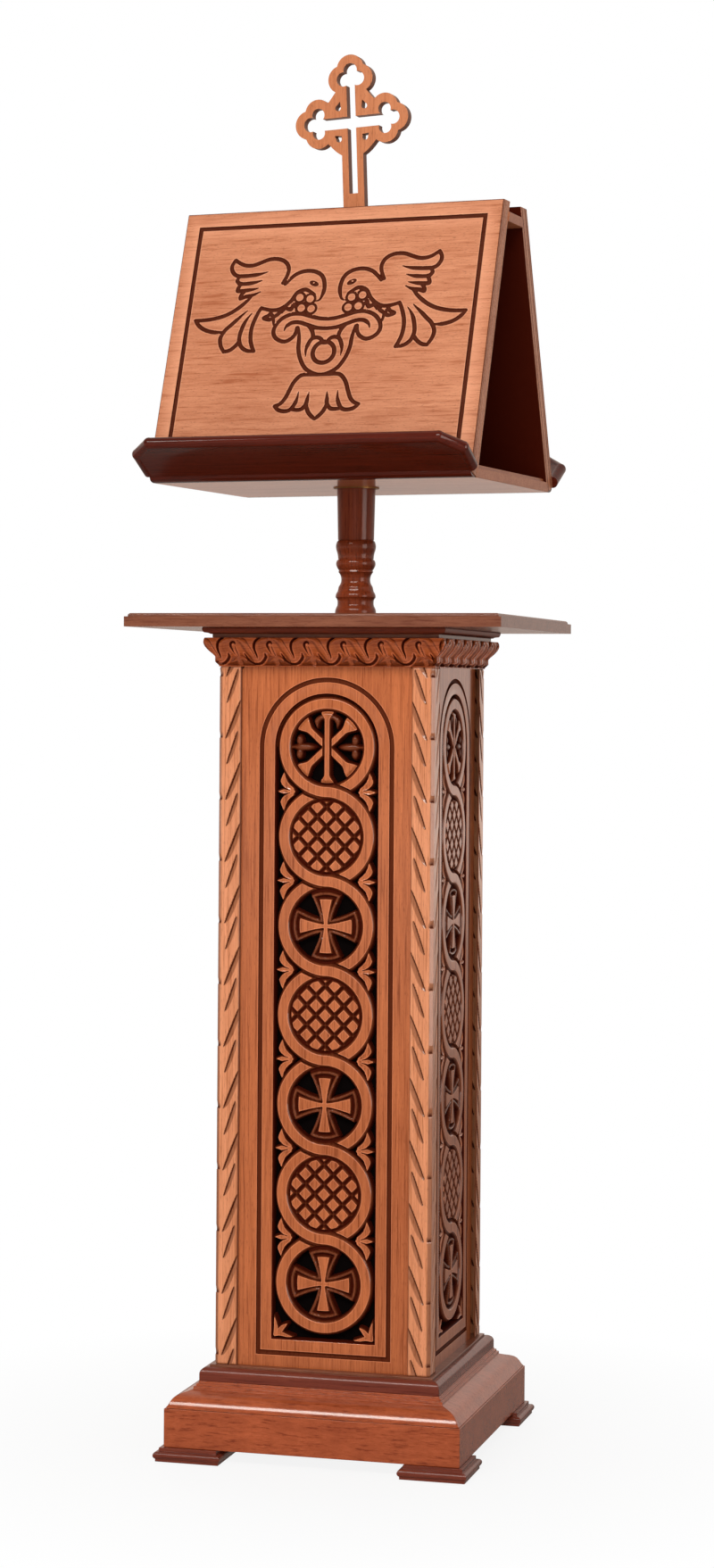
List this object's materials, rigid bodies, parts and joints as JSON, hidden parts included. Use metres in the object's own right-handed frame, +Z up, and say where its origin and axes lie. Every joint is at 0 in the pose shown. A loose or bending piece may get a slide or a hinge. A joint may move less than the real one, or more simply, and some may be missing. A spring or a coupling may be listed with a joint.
{
  "type": "revolving double-sided church lectern",
  "caption": "Free-standing carved hardwood lectern with a pierced square cabinet, moulded plinth, turned column and a two-sided book rest that turns below a pierced cross",
  "frame": {"origin": "on the floor, straight under the column, at the middle of the object's footprint", "axes": "X to the right as seen from the front, Y from front to back, Z up; the cabinet's front faces -Y"},
  "size_m": [0.4608, 0.4614, 1.6925],
  "materials": {
    "oiled_hardwood": "orange-tan stained hardwood under satin varnish",
    "dark_hardwood": "dark red-brown stained hardwood under glossy varnish",
    "black_board": "matt black-stained backing board",
    "plain_steel": "plain turned and rolled steel fixings",
    "bearing_bronze": "plain machined bearing bronze"
  },
  "bodies": {
    "stand": {"foot_front_left": "dark_hardwood", "foot_front_right": "dark_hardwood", "foot_back_right": "dark_hardwood", "foot_back_left": "dark_hardwood", "plinth_front": "oiled_hardwood", "plinth_right": "oiled_hardwood", "plinth_back": "oiled_hardwood", "plinth_left": "oiled_hardwood", "plinth_corner_blocks": "oiled_hardwood", "foot_screws": "plain_steel", "shoulder_front": "dark_hardwood", "shoulder_right": "dark_hardwood", "shoulder_back": "dark_hardwood", "shoulder_left": "dark_hardwood", "cabinet_floor": "oiled_hardwood", "base_bead_front": "dark_hardwood", "base_bead_right": "dark_hardwood", "base_bead_back": "dark_hardwood", "base_bead_left": "dark_hardwood", "post_front_left": "oiled_hardwood", "post_front_right": "oiled_hardwood", "post_back_right": "oiled_hardwood", "post_back_left": "oiled_hardwood", "panel_front": "oiled_hardwood", "panel_right": "oiled_hardwood", "panel_back": "oiled_hardwood", "panel_left": "oiled_hardwood", "backing_front": "black_board", "backing_right": "black_board", "backing_back": "black_board", "backing_left": "black_board", "crown_front": "oiled_hardwood", "crown_right": "oiled_hardwood", "crown_back": "oiled_hardwood", "crown_left": "oiled_hardwood", "sub_top": "oiled_hardwood", "bed_moulding_front": "dark_hardwood", "bed_moulding_right": "dark_hardwood", "bed_moulding_back": "dark_hardwood", "bed_moulding_left": "dark_hardwood", "table_top": "oiled_hardwood", "table_screws": "plain_steel", "column_socket": "oiled_hardwood", "column_baluster": "dark_hardwood", "column_shaft": "dark_hardwood", "thrust_washer": "bearing_bronze", "pivot_bolt": "plain_steel", "pivot_washer": "plain_steel", "pivot_nut": "plain_steel"},
    "book_rest": {"pivot_bush": "bearing_bronze", "head_base": "oiled_hardwood", "book_board_front": "oiled_hardwood", "book_board_back": "oiled_hardwood", "ledge_front": "dark_hardwood", "ledge_back": "dark_hardwood", "ledge_cleat_front": "dark_hardwood", "ledge_cleat_back": "dark_hardwood", "top_spreader": "oiled_hardwood", "cross": "oiled_hardwood"}
  },
  "joints": [
    {"name": "head_swivel", "type": "hinge", "parent": "stand", "child": "book_rest", "pos_m": [0, 0, 1.162], "axis": [0, 0, 1], "continuous": true}
  ]
}
